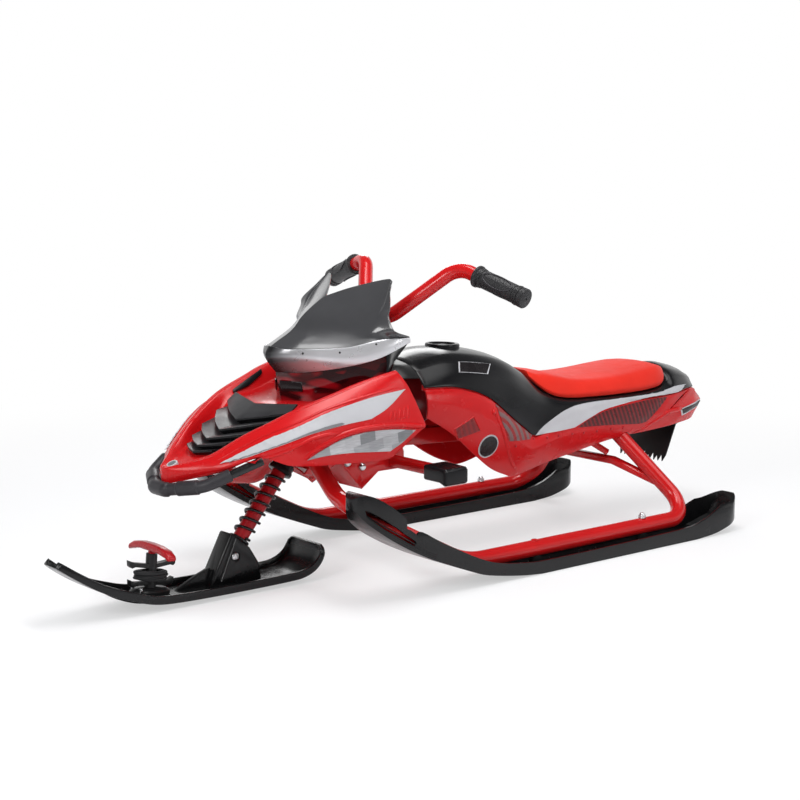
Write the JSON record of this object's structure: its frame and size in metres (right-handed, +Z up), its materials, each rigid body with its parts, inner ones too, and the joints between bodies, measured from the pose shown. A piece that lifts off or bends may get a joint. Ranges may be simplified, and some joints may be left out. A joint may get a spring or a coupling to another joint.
{
  "type": "steering sled",
  "caption": "Child's steering sled: steered front ski on a sprung raked column, twin rear skis, bent tube frame, cowl with windshield, padded seat and handlebar.",
  "frame": {"origin": "on the snow, below the middle of the object's box", "axes": "+Z up, the sled faces -Y, +X to the rider's left"},
  "size_m": [0.463, 1.266, 0.4591],
  "materials": {
    "red_steel": "gloss red powder coat",
    "black_steel": "satin black powder coat",
    "zinc": "zinc plated",
    "red_plastic": "gloss moulded red",
    "dark_red_plastic": "gloss moulded dark red",
    "gloss_black": "gloss moulded black",
    "black_plastic": "satin moulded black",
    "ski_plastic": "satin moulded black",
    "black_rubber": "matte black",
    "seat_foam": "matte red-orange skinned foam",
    "lens": "grey lens",
    "rope": "black braided cord"
  },
  "bodies": {
    "frame": {"head_tube": "red_steel", "left_side_rail": "red_steel", "right_side_rail": "red_steel", "main_spine": "red_steel", "head_gusset": "red_steel", "peg_bracket": "red_steel", "bracket_bolt_front": "zinc", "bracket_bolt_rear": "zinc", "foot_peg_bar": "red_steel", "left_foot_peg": "black_rubber", "right_foot_peg": "black_rubber", "rear_cross_brace": "red_steel", "left_brace_strut": "red_steel", "right_brace_strut": "red_steel", "left_rear_ski": "ski_plastic", "right_rear_ski": "ski_plastic", "left_ski_bolt_front": "zinc", "left_ski_bolt_rear": "zinc", "right_ski_bolt_front": "zinc", "right_ski_bolt_rear": "zinc", "cowl": "red_plastic", "louvre_insert": "gloss_black", "left_intake_trim": "gloss_black", "right_intake_trim": "gloss_black", "windshield": "gloss_black", "headlight_housing": "dark_red_plastic", "left_headlight_lens": "lens", "right_headlight_lens": "lens", "cowl_strap": "black_steel", "bumper_tube": "black_steel", "bumper_sleeve": "black_rubber", "top_cover": "gloss_black", "left_side_panel": "red_plastic", "right_side_panel": "red_plastic", "tail_piece": "red_plastic", "fuel_cap": "gloss_black", "seat_cushion": "seat_foam", "snow_flap": "black_rubber", "console": "black_plastic", "inner_panel": "dark_red_plastic", "rear_body_bracket": "black_steel"},
    "steering_head": {"spring_cup": "black_plastic"},
    "steered_fork": {"coil_spring": "black_steel", "spring_seat": "black_steel", "stop_collar": "zinc", "steering_column": "red_steel", "handlebar": "red_steel", "handlebar_clamp_base": "black_steel", "handlebar_clamp_cap": "black_steel", "left_grip": "black_rubber", "right_grip": "black_rubber", "front_ski": "ski_plastic", "ski_cross_bolt": "zinc", "ski_cross_nut": "zinc", "tow_cleat": "black_plastic", "left_cleat_screw": "zinc", "right_cleat_screw": "zinc", "tow_rope": "rope"},
    "tow_grip": {"tow_handle": "red_plastic"}
  },
  "joints": [
    {"name": "steering", "type": "hinge", "parent": "frame", "child": "steering_head", "pos_m": [0, -0.324, 0.069], "axis": [0, 0.6293, 0.7771], "range_deg": [-30, 30]},
    {"name": "front_suspension", "type": "slide", "parent": "steering_head", "child": "steered_fork", "axis": [0, 0.6293, 0.7771], "range_m": [0, 0.02], "stiffness_N_per_m": 4000, "springref_m": -0.015, "deforming": ["coil_spring"]},
    {"name": "tow_handle_pull", "type": "slide", "parent": "steered_fork", "child": "tow_grip", "axis": [0, 0.0872, 0.9962], "range_m": [0, 0.03]}
  ]
}
